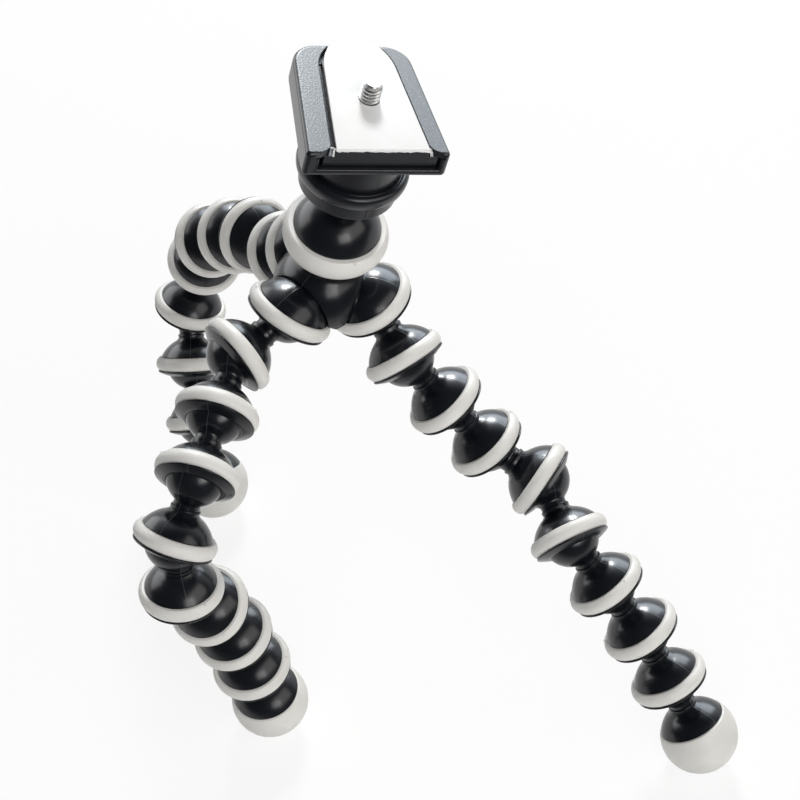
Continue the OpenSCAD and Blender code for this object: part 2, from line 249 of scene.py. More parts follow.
skin, skin_in, skin_out = new_group(
    "moulded_skin",
    [("Vector", "NodeSocketVector"), ("Mottle Scale", "NodeSocketFloat"), ("Grain Scale", "NodeSocketFloat")],
    ["Mottle", "Grain", "Specks"],
)
slow = add(skin, "ShaderNodeTexNoise", Detail=3.0, Roughness=0.55)
fine = add(skin, "ShaderNodeTexNoise", Detail=2.0, Roughness=0.5)
for noise_node, scale in ((slow, "Mottle Scale"), (fine, "Grain Scale")):
    skin.links.new(skin_in.outputs["Vector"], noise_node.inputs["Vector"])
    skin.links.new(skin_in.outputs[scale], noise_node.inputs["Scale"])
skin.links.new(ramp(skin, slow.outputs["Fac"], 0.3, 0.7), skin_out.inputs["Mottle"])
skin.links.new(fine.outputs["Fac"], skin_out.inputs["Grain"])
skin.links.new(ramp(skin, fine.outputs["Fac"], 0.62, 0.74), skin_out.inputs["Specks"])
print("group:", skin.name, len(skin.nodes), "nodes")

# %% Shared parting line group
seam, seam_in, seam_out = new_group(
    "parting_line", [("Vector", "NodeSocketVector"), ("Width", "NodeSocketFloat")], ["Line"],
)
parts = add(seam, "ShaderNodeSeparateXYZ")
off = add(seam, "ShaderNodeMath", operation="ABSOLUTE")
fade = add(seam, "ShaderNodeMapRange", interpolation_type="SMOOTHSTEP")
fade.inputs["To Min"].default_value = 1.0
fade.inputs["To Max"].default_value = 0.0
seam.links.new(seam_in.outputs["Vector"], parts.inputs["Vector"])
seam.links.new(parts.outputs["X"], off.inputs[0])
seam.links.new(off.outputs[0], fade.inputs["Value"])
seam.links.new(seam_in.outputs["Width"], fade.inputs["From Max"])
seam.links.new(fade.outputs["Result"], seam_out.inputs["Line"])
print("group:", seam.name, len(seam.nodes), "nodes")


# %% Starting a finish
def new_finish(name, mottle_scale, grain_scale):
    """A material with its Principled shader and the skin group, reading Object coordinates."""
    material = bpy.data.materials.new(name)
    material.use_nodes = True
    tree = material.node_tree
    shader = tree.nodes["Principled BSDF"]
    where = add(tree, "ShaderNodeTexCoord")
    group = add(tree, "ShaderNodeGroup", node_tree=skin)
    group.inputs["Mottle Scale"].default_value = mottle_scale
    group.inputs["Grain Scale"].default_value = grain_scale
    tree.links.new(where.outputs["Object"], group.inputs["Vector"])
    return material, tree, shader, group


def layer(tree, factor, under, over):
    """A colour between two, each fixed or from another node, by a value that changes over the surface."""
    mix = add(tree, "ShaderNodeMix", data_type="RGBA")
    tree.links.new(factor, mix.inputs[0])
    for socket, colour in ((mix.inputs[6], under), (mix.inputs[7], over)):
        if isinstance(colour, tuple):
            socket.default_value = (*colour, 1)
        else:
            tree.links.new(colour, socket)
    return mix.outputs[2]


def paint(tree, shader, colour, roughness):
    tree.links.new(colour, shader.inputs["Base Color"])
    tree.links.new(roughness, shader.inputs["Roughness"])


def bump(tree, shader, height, distance, strength):
    node = add(tree, "ShaderNodeBump", Distance=distance, Strength=strength)
    tree.links.new(height, node.inputs["Height"])
    tree.links.new(node.outputs["Normal"], shader.inputs["Normal"])


print("finish helpers ready")


# %% Reading a piece's own coordinates
def own(tree, axis):
    """One of a piece's own coordinates."""
    home = add(tree, "ShaderNodeAttribute", attribute_name="home")
    parts = add(tree, "ShaderNodeSeparateXYZ")
    tree.links.new(home.outputs["Vector"], parts.inputs[0])
    return parts.outputs[axis]


def parting(tree, width):
    """The parting line on a piece's own coordinates."""
    home = add(tree, "ShaderNodeAttribute", attribute_name="home")
    line = add(tree, "ShaderNodeGroup", node_tree=seam)
    line.inputs["Width"].default_value = width
    tree.links.new(home.outputs["Vector"], line.inputs["Vector"])
    return line.outputs["Line"]


def raised(tree, group, line, share):
    """Height of the parting line and a share of the grain."""
    relief = add(tree, "ShaderNodeMath", operation="MULTIPLY_ADD")
    relief.inputs[1].default_value = share
    tree.links.new(group.outputs["Grain"], relief.inputs[0])
    tree.links.new(line, relief.inputs[2])
    return relief.outputs[0]


print("a finish can follow its piece")

# %% [markdown]
# The links and the hub are glossy black moulded plastic with a cool tint. A plain black shader would
# look like a hole, so the roughness drifts a little over each dome, and the parting line is a faint
# raised edge that catches the light, painted paler along its length as a painted highlight.

# %% Glossy black plastic
black_plastic, tree, shader, group = new_finish("black_plastic", 70, 2600)
mottle, line = group.outputs["Mottle"], parting(tree, 0.16 * MM)
mottled = layer(tree, mottle, (0.004, 0.005, 0.0075), (0.007, 0.008, 0.011))
# The parting line is painted paler than the plastic round it: a painted highlight along its raised edge.
mottle_with_painted_line_highlight = layer(tree, line, mottled, (0.045, 0.05, 0.058))
paint(tree, shader, mottle_with_painted_line_highlight, ramp(tree, mottle, 0, 1, 0.21, 0.26))
bump(tree, shader, raised(tree, group, line, 0.05), 0.03 * MM, 0.6)
print(black_plastic.name, len(tree.nodes), "nodes")

# %% [markdown]
# The head is a harder plastic. The tops of its two rails have a fine grain while the rest is nearly
# smooth, and the grey shimmer that light makes on that grain is painted into their colour: a paler
# tone with bright specks, as painted sheen and glints. The rail tops lie at one height in the head's
# own coordinates, so a step on that height turns the grain and the painted glints on.

# %% Grained head plastic
head_plastic, tree, shader, group = new_finish("head_plastic", 140, 1900)
on_top = ramp(tree, own(tree, "Z"), 28.35 * MM, 28.55 * MM, smooth=True)
plain = layer(tree, group.outputs["Mottle"], (0.007, 0.008, 0.0108), (0.011, 0.0122, 0.0155))
# The rail tops are painted paler, with bright specks: painted sheen and glints of light on the grain.
painted_grain_glints = layer(tree, group.outputs["Specks"], (0.02, 0.026, 0.03), (0.19, 0.21, 0.22))
paint(tree, shader, layer(tree, on_top, plain, painted_grain_glints), ramp(tree, on_top, 0, 1, 0.25, 0.34))
rough = add(tree, "ShaderNodeMath", operation="MULTIPLY")
tree.links.new(group.outputs["Grain"], rough.inputs[0])
tree.links.new(ramp(tree, on_top, 0, 1, 0.04, 1.0), rough.inputs[1])
bump(tree, shader, rough.outputs[0], 0.06 * MM, 0.8)
print(head_plastic.name, len(tree.nodes), "nodes")

# %% [markdown]
# The rings and feet are warm white rubber with a satin skin. It holds a little dirt, so the colour
# drifts between two whites and fine specks sit in the grain.

# %% White rubber
white_rubber, tree, shader, group = new_finish("white_rubber", 120, 3000)
mottle, line = group.outputs["Mottle"], parting(tree, 0.22 * MM)
clean = layer(tree, mottle, (0.745, 0.735, 0.70), (0.81, 0.80, 0.77))
dust = ramp(tree, group.outputs["Specks"], 0, 1, 0, 0.25)
dusty = layer(tree, dust, clean, (0.60, 0.585, 0.545))
paint(tree, shader, dusty, ramp(tree, mottle, 0, 1, 0.42, 0.55))
bump(tree, shader, raised(tree, group, line, 0.4), 0.04 * MM, 0.6)
print(white_rubber.name, len(tree.nodes), "nodes")

# %% [markdown]
# The pad on the plate is a thin sheet of plain white rubber, flatter and whiter than the rings. The
# camera screw is bright plated steel, with painted shade darkening the root of its thread. The screw
# keeps the distance from its axis as the X of home, so the finish knows how deep a point lies.

# %% Pad and steel
white_pad, tree, shader, group = new_finish("white_pad", 90, 4200)
whites = layer(tree, group.outputs["Mottle"], (0.86, 0.858, 0.85), (0.89, 0.89, 0.885))
paint(tree, shader, whites, ramp(tree, group.outputs["Grain"], 0, 1, 0.55, 0.7))
bump(tree, shader, group.outputs["Grain"], 0.04 * MM, 0.5)

screw_steel, tree, shader, group = new_finish("screw_steel", 400, 6000)
shader.inputs["Metallic"].default_value = 1.0
# The thread is painted darker towards its root: painted shade in its groove, fading out towards the crest.
mottle, painted_root_shade_fade = group.outputs["Mottle"], ramp(tree, own(tree, "X"), 2.5 * MM, 3.0 * MM, smooth=True)
plated = layer(tree, mottle, (0.80, 0.80, 0.80), (0.88, 0.88, 0.87))
paint(tree, shader, layer(tree, painted_root_shade_fade, (0.2, 0.2, 0.19), plated), ramp(tree, mottle, 0, 1, 0.28, 0.38))
print("finishes:", [m.name for m in bpy.data.materials if not m.name.startswith("Material")])

# %% [markdown]
# ## A leg link
#
# A link is one moulding: a ball, a waist, and a dome whose hollow underside is the cup for the next
# ball. The outline starts at the bottom of the ball, climbs over the waist and the dome, steps in to
# the seat of the rubber ring, goes round the sloped lip, and runs back up inside the cup. Round
# corners matter here, because a sharp edge shows no highlight.

# %% Measures of a ball and cup
BALL, CAVITY, WAIST = 9.2, 9.32, 4.2
FILLET, FLARE = 1.2, 2.0
DOME_R, EDGE, DROP = 11.07, 17.7, 5.6
LINK_WALL, BELL_WALL, LIP_OUT = 1.6, 2.5, 1.45
RING_WIDTH, RING_THICK = 4.85, 2.28
RING_LOW, LIP_LOW, FIT = 1.75, 3.6, 0.05


def ball_path():
    """From the bottom of a ball up to its waist."""
    centre = (WAIST + FILLET, math.sqrt((BALL + FILLET) ** 2 - (WAIST + FILLET) ** 2))
    touch = tuple(x * BALL / (BALL + FILLET) for x in centre)
    return [
        (0, -BALL), ("arc", 0, 0, degrees_between((0, 0), (0, -BALL), touch)),
        ("arc", *centre, degrees_between(centre, touch, (WAIST, centre[1]))),
    ]


def dome_path(dome_r, drop, edge):
    """From the waist up a flare and over a dome to its wide edge."""
    curve = math.hypot(dome_r, drop)
    middle = (0, edge + drop)
    flare_z = middle[1] - math.sqrt((curve + FLARE) ** 2 - (WAIST + FLARE) ** 2)
    share = curve / (curve + FLARE)
    touch = ((WAIST + FLARE) * share, middle[1] + (flare_z - middle[1]) * share)
    return [
        ("line", WAIST, flare_z - 0.55), ("line", WAIST + 0.5, flare_z - 0.3, 0.2),
        ("line", WAIST + 0.45, flare_z + 0.35, 0.2), ("line", WAIST + 0.32, flare_z + 1.0),
        ("line", *touch), ("arc", *middle, degrees_between(middle, touch, (dome_r, edge)) - 1.2),
    ]


def cup_path(wall, middle, width):
    """From the seat of a ring round the lip and up inside the cup."""
    seat, lip = CAVITY + wall, CAVITY + wall + LIP_OUT
    mouth = math.sqrt(CAVITY**2 - LIP_LOW**2)
    return [
        ("line", seat, middle + RING_LOW - width + FIT), ("line", seat, middle + RING_LOW),
        ("line", lip, middle + RING_LOW, 0.22), ("line", lip, middle + RING_LOW + 0.5, 0.45),
        ("line", mouth + 0.8, middle + LIP_LOW, 0.4), ("line", mouth, middle + LIP_LOW),
        ("arc", 0, middle, degrees_between((0, middle), (mouth, middle + LIP_LOW), (0, middle - CAVITY))),
    ]


print("ball", BALL, "mm radius, cup", CAVITY, "mm radius")

# %% The link
link = turn(ball_path() + dome_path(DOME_R, DROP, EDGE) + cup_path(LINK_WALL, PITCH, RING_WIDTH))
print("link:", len(link.verts), "points,", len(link.faces), "faces")

# %% [markdown]
# ## Grip ring, foot link and foot
#
# A grip ring is a rubber band with a crowned outside, moulded with a small nub where the rubber
# entered. The foot link is a link with a plug in place of its cup, and the foot is a rubber ball
# pushed onto that plug.

# %% Grip ring
CROWN = 1.2


def grip_ring(wall, width, thickness, middle, nub_at):
    """A crowned ring on its seat, with the nub left by the mould at a height on its dome side."""
    inner, outer, half = CAVITY + wall + FIT, CAVITY + wall + thickness, width / 2 - FIT
    curve = ((width / 2) ** 2 + CROWN**2) / (2 * CROWN)
    centre = (outer - curve, middle + RING_LOW - width / 2)
    rim = centre[0] + math.sqrt(curve**2 - half**2)
    low, high = centre[1] - half, centre[1] + half
    start, end = (rim + 0.12, low + 0.36), (rim + 0.12, high - 0.36)
    ring = turn([
        (inner, low), ("line", rim - 0.3, low), ("line", *start, 0.3),
        ("arc", *centre, degrees_between(centre, start, end)),
        ("line", rim - 0.3, high, 0.3), ("line", inner, high),
    ], closed=True)
    nub = bmesh.ops.create_icosphere(ring, subdivisions=2, radius=0.34 * MM)["verts"]
    bmesh.ops.scale(ring, vec=(1.5, 0.8, 0.9), verts=nub)
    bmesh.ops.translate(ring, vec=((rim + 0.05) * MM, 0, (low + 0.3) * MM), verts=nub)
    bmesh.ops.rotate(ring, cent=(0, 0, 0), matrix=Matrix.Rotation(nub_at, 3, "Z"), verts=nub)
    return ring


print("ring crown", CROWN, "mm")

# %% Foot link and foot
FOOT_R, FOOT_EDGE = 12.75, 11.27
FOOT_Z = EDGE + math.sqrt(FOOT_R**2 - FOOT_EDGE**2)
PLUG, PLUG_END = 7.5, EDGE + 9
foot_link = turn(ball_path() + dome_path(DOME_R, DROP, EDGE) + [
    ("line", 10.7, EDGE), ("line", PLUG, EDGE), ("line", PLUG, PLUG_END, 0.4), ("line", 0, PLUG_END),
])
base = EDGE + FIT
rim = (math.sqrt(FOOT_R**2 - (FOOT_Z - base - 0.3) ** 2), base + 0.3)
foot = turn([
    (0, PLUG_END + FIT), ("line", PLUG + FIT, PLUG_END + FIT), ("line", PLUG + FIT, base),
    ("line", rim[0] - 0.45, base, 0.25), ("line", *rim),
    ("arc", 0, FOOT_Z, degrees_between((0, FOOT_Z), rim, (0, FOOT_Z + FOOT_R))),
])
print("foot:", len(foot.faces), "faces; foot link:", len(foot_link.faces), "faces")

# %% [markdown]
# The three legs repeat these pieces, so each is copied and moved to its place. The nub of every ring
# is turned to another side, because hand-fitted rings never line up.

# %% Legs
for leg_number, leg in enumerate(LEGS):
    for i in range(1, 9):
        where, body = link_places[leg][i - 1], f"{leg}_{i}"
        bm = link.copy()
        keep(f"{leg}_leg_link_{i}", bm, where, body, "black_plastic", black_plastic, f"{leg}_link_{i}")
        ring = grip_ring(LINK_WALL, RING_WIDTH, RING_THICK, PITCH, 2.4 * i + 1.7 * leg_number)
        keep(f"{leg}_grip_ring_{i}", ring, where, body, "white_rubber", white_rubber, f"{leg}_ring_{i}")
    where, body = link_places[leg][8], f"{leg}_9"
    bm = foot_link.copy()
    keep(f"{leg}_last_link", bm, where, body, "black_plastic", black_plastic, f"{leg}_foot_link")
    keep(f"{leg}_ball_foot", foot.copy(), where, body, "white_rubber", white_rubber, f"{leg}_foot")
for bm in (link, foot_link, foot):
    bm.free()

# %% [markdown]
# ## The hub
#
# The hub is a round core with a neck and ball on top, and three bells that hold the first balls of
# the legs. Core and bells are all parts of balls, so each bell meets the core in a circle. They are
# turned one by one and joined with exact booleans, which keep that crease crisp. A narrow groove is
# turned along each crease, with one lip rounded over, and the three cups are cut last.

# %% Boolean helper
def scratch_object(name, bm):
    mesh = bpy.data.meshes.new(name)
    bm.to_mesh(mesh)
    bm.free()
    thing = bpy.data.objects.new(name, mesh)
    bpy.context.scene.collection.objects.link(thing)
    return thing


def carved(base, steps):
    """The base after a row of (operation, tool) booleans, as a new bmesh."""
    body = scratch_object("carving", base)
    tools = [scratch_object(f"carving_tool_{n}", bm) for n, (_, bm) in enumerate(steps)]
    for (operation, _), tool in zip(steps, tools):
        cut = body.modifiers.new(operation.lower(), "BOOLEAN")
        cut.operation, cut.object, cut.solver = operation, tool, "EXACT"
    bpy.context.view_layer.update()
    done = bpy.data.meshes.new_from_object(body.evaluated_get(bpy.context.evaluated_depsgraph_get()))
    bm = bmesh.new()
    bm.from_mesh(done)
    for thing in [body, *tools]:
        mesh = thing.data
        bpy.data.objects.remove(thing)
        bpy.data.meshes.remove(mesh)
    bpy.data.meshes.remove(done)
    return bm


def hollow():
    """The round inside of a cup, as a cutter."""
    bm = bmesh.new()
    bmesh.ops.create_uvsphere(bm, u_segments=96, v_segments=64, radius=CAVITY * MM)
    return bm


print("boolean helper ready")

# %% Core
CORE_R, CORE_Z, TIP_Z, SHOULDER_R, STEM_R = 15.4, -19.7, -23, 9.2, 8
NECK_WALL, NECK_WIDTH, NECK_THICK, NECK_LOW = 3.9, 7.6, 2.9, 3.2
NECK_DOME, NECK_DROP, NECK_MIDDLE = 13.37, 4, 6.8
neck_seat, neck_lip = CAVITY + NECK_WALL, CAVITY + NECK_WALL + LIP_OUT
neck_top = NECK_LOW + NECK_WIDTH
neck_edge = (13.3, neck_top + 0.2)
neck_curve = math.hypot(NECK_DOME, NECK_DROP)
neck_flare = (WAIST + FLARE, NECK_MIDDLE + math.sqrt((neck_curve + FLARE) ** 2 - (WAIST + FLARE) ** 2))
share = neck_curve / (neck_curve + FLARE)
neck_touch = (neck_flare[0] * share, NECK_MIDDLE + (neck_flare[1] - NECK_MIDDLE) * share)
ball_low = NECK_BALL - math.sqrt(BALL**2 - WAIST**2)
tip = (math.sqrt(CORE_R**2 - (TIP_Z - CORE_Z) ** 2), TIP_Z)
shoulder = (SHOULDER_R, CORE_Z + math.sqrt(CORE_R**2 - SHOULDER_R**2))
core = turn([
    (0, TIP_Z), ("line", *tip), ("arc", 0, CORE_Z, degrees_between((0, CORE_Z), tip, shoulder)),
    ("line", STEM_R, shoulder[1] + 1.4, 1.0), ("line", STEM_R, 1.35), ("line", 9.4, 1.35),
    ("line", neck_lip, 2.7, 0.4), ("line", neck_lip, NECK_LOW, 0.2), ("line", neck_seat, NECK_LOW),
    ("line", neck_seat, neck_top - FIT), ("line", 13.1, neck_top), ("line", *neck_edge, 0.1),
    ("arc", 0, NECK_MIDDLE, degrees_between((0, NECK_MIDDLE), neck_edge, neck_touch)),
    ("arc", *neck_flare, degrees_between(neck_flare, neck_touch, (WAIST, neck_flare[1]))),
    ("line", WAIST, ball_low),
    ("arc", 0, NECK_BALL, degrees_between((0, NECK_BALL), (WAIST, ball_low), (0, NECK_BALL + BALL))),
], steps=128)
print("core:", len(core.faces), "faces")


# %% Bells
BELL_R, BELL_EDGE = 11.97, -3.1
BELL_MIDDLE = BELL_EDGE + DROP
BELL_CURVE = math.hypot(BELL_R, DROP)


def bell():
    """A leg socket with its ball centre at the origin, solid."""
    seat, lip = CAVITY + BELL_WALL, CAVITY + BELL_WALL + LIP_OUT
    mouth = math.sqrt(CAVITY**2 - LIP_LOW**2)
    low_end = BELL_MIDDLE - BELL_CURVE
    swing = degrees_between((0, BELL_MIDDLE), (0, low_end), (BELL_R, BELL_EDGE)) - 1.2
    return turn([
        (0, low_end), ("arc", 0, BELL_MIDDLE, swing),
        ("line", 11.5, BELL_EDGE), ("line", seat, BELL_EDGE + FIT), ("line", seat, RING_LOW),
        ("line", lip, RING_LOW, 0.22), ("line", lip, RING_LOW + 0.5, 0.45),
        ("line", mouth + 0.8, LIP_LOW, 0.4), ("line", 0, LIP_LOW),
    ], steps=112)


to_hub = hub_place.inverted()
root_places = [to_hub @ place(root, (root - hub_centre).normalized()) for root in roots]
leans = [math.degrees(root.to_3x3().col[2].angle(Vector((0, 0, -1)))) for root in root_places]
print("bells lean", [round(lean) for lean in leans], "degrees from straight down")


# %% Creases
GROOVE, GROOVE_DEEP, LIP_ROUND = 0.7, 0.9, 0.8
CORE_GAP, CREASE_GAP, PAST = 0.1, 0.04, 2


def past_ring(root, gap):
    """Everything past the plane of a bell's ring, less a small gap."""
    low = BELL_EDGE - gap
    disc = turn([(0, low), ("line", 31, low), ("line", 31, 20), ("line", 0, 20)])
    disc.transform(root)
    return disc


def crease(root):
    """Cutter for the groove along the circle where a bell meets the core, with the core's lip rounded."""
    core_middle = Vector((0, 0, CORE_Z * MM))
    span = root @ Vector((0, 0, BELL_MIDDLE * MM)) - core_middle
    apart = span.length / MM
    z = (apart**2 + CORE_R**2 - BELL_CURVE**2) / (2 * apart)
    r = math.sqrt(CORE_R**2 - z**2)
    wall_z = z - GROOVE / 2
    round_z = wall_z - LIP_ROUND
    reach = CORE_R + 0.02 - LIP_ROUND
    round_r = math.sqrt(reach**2 - round_z**2)
    touch = (round_r * (1 + LIP_ROUND / reach), round_z * (1 + LIP_ROUND / reach))
    swing = degrees_between((round_r, round_z), touch, (round_r, wall_z))
    groove = turn([
        (r - GROOVE_DEEP, wall_z), ("line", r - GROOVE_DEEP, z + GROOVE / 2),
        ("line", r + PAST, z + GROOVE / 2), ("line", r + PAST, touch[1]),
        ("line", *touch), ("arc", round_r, round_z, swing),
    ], closed=True, steps=112)
    groove.transform(place(core_middle, span.normalized()))
    return carved(groove, [("DIFFERENCE", past_ring(root, CREASE_GAP))])


print("each bell meets the core in a circle")

# %% Joined hub
tools = [("DIFFERENCE", past_ring(root, CORE_GAP)) for root in root_places]
for root in root_places:
    shell = bell()
    shell.transform(root)
    tools.append(("UNION", shell))
tools += [("DIFFERENCE", crease(root)) for root in root_places]
for root in root_places:
    cup = hollow()
    cup.transform(root)
    tools.append(("DIFFERENCE", cup))
hub = carved(core, tools)
bell_sides = [Vector((0, 0, 1)).cross(root.translation).normalized() for root in root_places]
bell_ways = [Vector((root.translation.x, root.translation.y, 0)) for root in root_places]


def from_seam(co):
    """Hub coordinates with the distance from the nearest bell's upright middle plane as X below the neck."""
    nearest = max(range(3), key=lambda n: co.dot(bell_ways[n]))
    return Vector((co.dot(bell_sides[nearest]) if co.z < 0 else CORE_R * MM, co.y, co.z))


print("hub:", len(hub.verts), "points,", len(hub.faces), "faces")
keep("leg_hub", hub, hub_place, "hub", "black_plastic", black_plastic, "hub", sharp=28, home_of=from_seam)

# %% Hub rings
hub_rings = grip_ring(NECK_WALL, NECK_WIDTH, NECK_THICK, 0, 1.0)
neck_ring_up = Matrix.Translation((0, 0, (NECK_LOW + RING_LOW) * MM)) @ Matrix.Rotation(math.pi, 4, "X")
hub_rings.transform(neck_ring_up)
for number, root in enumerate(root_places):
    ring = grip_ring(BELL_WALL, RING_WIDTH, RING_THICK, 0, 2.1 * number)
    ring.transform(root)
    join(hub_rings, ring)
print("hub rings:", len(hub_rings.faces), "faces")
keep("hub_grip_rings", hub_rings, hub_place, "hub", "white_rubber", white_rubber, "hub_rings")

# %% [markdown]
# ## The head
#
# The lower half of the head is turned: a band round the cup, a rounded collar and a post. The receiver
# above it is a flat block with a T-shaped slot for the plate. Edges that are cut by a boolean are hard
# to bevel afterwards, so the cutters themselves flare out at the mouth of the slot, in a quarter
# circle, and leave rounded edges behind.

# %% Solids from plans
FRONT_Y, BACK_Y = -16.9, 27.6
FRONT_HALF, BACK_HALF = 21.0, 17.1


def side_x(y):
    """Half the receiver's width, which tapers to the back."""
    return FRONT_HALF + (BACK_HALF - FRONT_HALF) * (y - FRONT_Y) / (BACK_Y - FRONT_Y)


def loft(rings):
    """A closed solid through rings of points in millimetres, all with as many points."""
    bm = bmesh.new()
    loops = []
    for ring in rings:
        corners = [bm.verts.new(Vector(point) * MM) for point in ring]
        loops.append([bm.edges.new(pair) for pair in zip(corners, corners[1:] + corners[:1])])
    for lower, upper in zip(loops, loops[1:]):
        bmesh.ops.bridge_loops(bm, edges=lower + upper)
    for end in (loops[0], loops[-1]):
        bmesh.ops.contextual_create(bm, geom=end)
    bmesh.ops.recalc_face_normals(bm, faces=bm.faces[:])
    return bm


def slab(plan, low, high):
    """A prism from a plan in millimetres."""
    return loft([[(x, y, z) for x, y in plan] for z in (low, high)])


def strip(inset, y0, y1):
    """Plan of a strip held in from the receiver's tapered sides."""
    a, b = side_x(y0) - inset, side_x(y1) - inset
    return [(-a, y0), (a, y0), (b, y1), (-b, y1)]


def rounded(plan, corners):
    """A plan with some corners rounded: corners gives a radius for each corner's number."""
    bm = bmesh.new()
    points = [bm.verts.new((x, y, 0)) for x, y in plan]
    bm.faces.new(points)
    for number, radius in corners.items():
        bmesh.ops.bevel(
            bm, geom=[points[number]], offset=radius, offset_type="OFFSET", segments=8, profile=0.5,
            affect="VERTICES", clamp_overlap=True, material=-1,
        )
    bm.faces.ensure_lookup_table()
    ring = [(v.co.x, v.co.y) for v in bm.faces[0].verts]
    bm.free()
    return ring


def flare(size, steps=5):
    """Pairs of depth and widening along a quarter circle, from inside a mouth out to its face."""
    angles = [math.radians(90 * n / steps) for n in range(steps + 1)]
    return [(size * (1 - math.sin(t)), size * (1 - math.cos(t))) for t in angles]


print("receiver:", 2 * FRONT_HALF, "mm wide in front,", 2 * BACK_HALF, "mm at the back")


# %% Edges of a block
def soften(bm, edges, width, segments):
    bmesh.ops.bevel(
        bm, geom=edges, offset=width * MM, offset_type="OFFSET", segments=segments, profile=0.5,
        affect="EDGES", clamp_overlap=True, material=-1,
    )


def edges_where(bm, test):
    """Edges whose two ends both pass a test, in millimetres."""
    return [e for e in bm.edges if all(test(*(v.co / MM)) for v in e.verts)]


RECEIVER_LOW, FLOOR_TOP, RAIL_LOW, RAIL_TOP = 20, 22.3, 26.4, 28.6
outline = rounded(strip(0, FRONT_Y, BACK_Y), {0: 1.6, 1: 1.6, 2: 6.9, 3: 6.9})
receiver = slab(outline, RECEIVER_LOW, RAIL_TOP)
soften(receiver, edges_where(receiver, lambda x, y, z: z > RAIL_TOP - 0.01), 1.25, 5)
soften(receiver, edges_where(receiver, lambda x, y, z: z < RECEIVER_LOW + 0.01), 1.1, 4)
print("receiver block:", len(receiver.faces), "faces")

# %% Slot cutters
STOP_Y, NOSE_LEN, NOSE_W = 21.6, 2.4, 4.5
WALL_T, RAIL_W, STOP_GAP = 3.4, 6.55, 14.6
SLOT_X, PLATE_X = 0.85, screw_at.x / MM
EDGE_ROUND, MOUTH_ROUND = 0.45, 0.7


def opening(widening):
    """Plan of the opening between the rails, with sloped front ends and stops that curve in."""
    a = side_x(FRONT_Y) - RAIL_W + NOSE_W + widening
    b = side_x(FRONT_Y + NOSE_LEN) - RAIL_W + widening
    c = side_x(STOP_Y) - RAIL_W + widening
    gap = STOP_GAP / 2 + widening
    plan = [
        (SLOT_X - a, FRONT_Y - PAST), (SLOT_X + a, FRONT_Y - PAST), (SLOT_X + a, FRONT_Y),
        (SLOT_X + b, FRONT_Y + NOSE_LEN), (SLOT_X + c, STOP_Y), (PLATE_X + gap, BACK_Y),
        (PLATE_X + gap, BACK_Y + PAST), (PLATE_X - gap, BACK_Y + PAST), (PLATE_X - gap, BACK_Y),
        (SLOT_X - c, STOP_Y), (SLOT_X - b, FRONT_Y + NOSE_LEN), (SLOT_X - a, FRONT_Y),
    ]
    return rounded(plan, {3: 1.6, 4: 3.2, 9: 3.2, 10: 1.6})


def mouth(y, widening):
    """Cross-section of the slot for the plate's flanges."""
    half = side_x(max(y, FRONT_Y)) - WALL_T + widening
    low, high = FLOOR_TOP - widening, RAIL_LOW + 0.01
    left, right = SLOT_X - half, SLOT_X + half
    return [(left, y, low), (right, y, low), (right, y, high), (left, y, high)]


levels = [(RAIL_LOW, 0)] + [(RAIL_TOP - depth, widening) for depth, widening in flare(EDGE_ROUND)]
levels.append((RAIL_TOP + PAST, EDGE_ROUND))
rail_gap = loft([[(x, y, z) for x, y in opening(widening)] for z, widening in levels])
depths = [(STOP_Y, 0)] + [(FRONT_Y + depth, widening) for depth, widening in flare(MOUTH_ROUND)]
depths.append((FRONT_Y - PAST, MOUTH_ROUND))
flange_slot = loft([mouth(y, widening) for y, widening in depths])
print("cutters:", len(rail_gap.faces), "and", len(flange_slot.faces), "faces")

# %% Head
CUP_LOW, BAND_LOW, COLLAR_LOW, COLLAR_TOP = -3.6, -0.2, 5.1, 9.9
BAND_R, COLLAR_R, POST_R, STUB_R = 14.6, 16.6, 14.0, 12.37
post = turn([
    (0, 0), ("line", 9, CUP_LOW), ("line", 9.4, CUP_LOW, 0.3), ("line", STUB_R, -2.25, 0.4),
    ("line", STUB_R, BAND_LOW), ("line", BAND_R, BAND_LOW, 0.5), ("line", BAND_R, COLLAR_LOW - 0.3, 0.25),
    ("line", BAND_R - 0.5, COLLAR_LOW - 0.1), ("line", BAND_R - 0.5, COLLAR_LOW + 0.1),
    ("line", COLLAR_R - 0.5, COLLAR_LOW + 0.2, 0.35), ("line", COLLAR_R, COLLAR_LOW + 1.6, 0.9),
    ("line", COLLAR_R, COLLAR_TOP - 0.1, 1.5), ("line", POST_R + 1.0, COLLAR_TOP, 0.5),
    ("line", POST_R + 0.6, COLLAR_TOP - 0.9, 0.3), ("line", POST_R, COLLAR_TOP - 0.7, 0.3),
    ("line", POST_R, RECEIVER_LOW + 0.6), ("line", 0, RECEIVER_LOW + 0.6),
], steps=128)
SPLIT_HALF, SPLIT_OUT, SPLIT_IN, SPLIT_TURN = 0.12, -15.5, -13.9, 8
split_plan = [
    (-SPLIT_HALF, SPLIT_OUT), (SPLIT_HALF, SPLIT_OUT), (SPLIT_HALF, SPLIT_IN), (-SPLIT_HALF, SPLIT_IN),
]
split = slab(split_plan, BAND_LOW - 0.5, COLLAR_LOW)
split.transform(Matrix.Rotation(math.radians(SPLIT_TURN), 4, "Z"))
head = carved(receiver, [
    ("DIFFERENCE", rail_gap), ("DIFFERENCE", flange_slot), ("UNION", post), ("DIFFERENCE", hollow()),
    ("DIFFERENCE", split),
])
print("head:", len(head.faces), "faces")
keep("tilting_head", head, head_place, "head", "head_plastic", head_plastic, "head", sharp=40, flat=True)

# %% [markdown]
# ## Plate and pad
#
# The plate is a T-shaped slide under the pad. The pad is a sheet of rubber that was cut by hand, so its
# front edge is a little ragged: the edge is divided and each point moved by a smooth noise, which
# gives the same edge each run. Slivers of the sheet still hang at its two front corners.

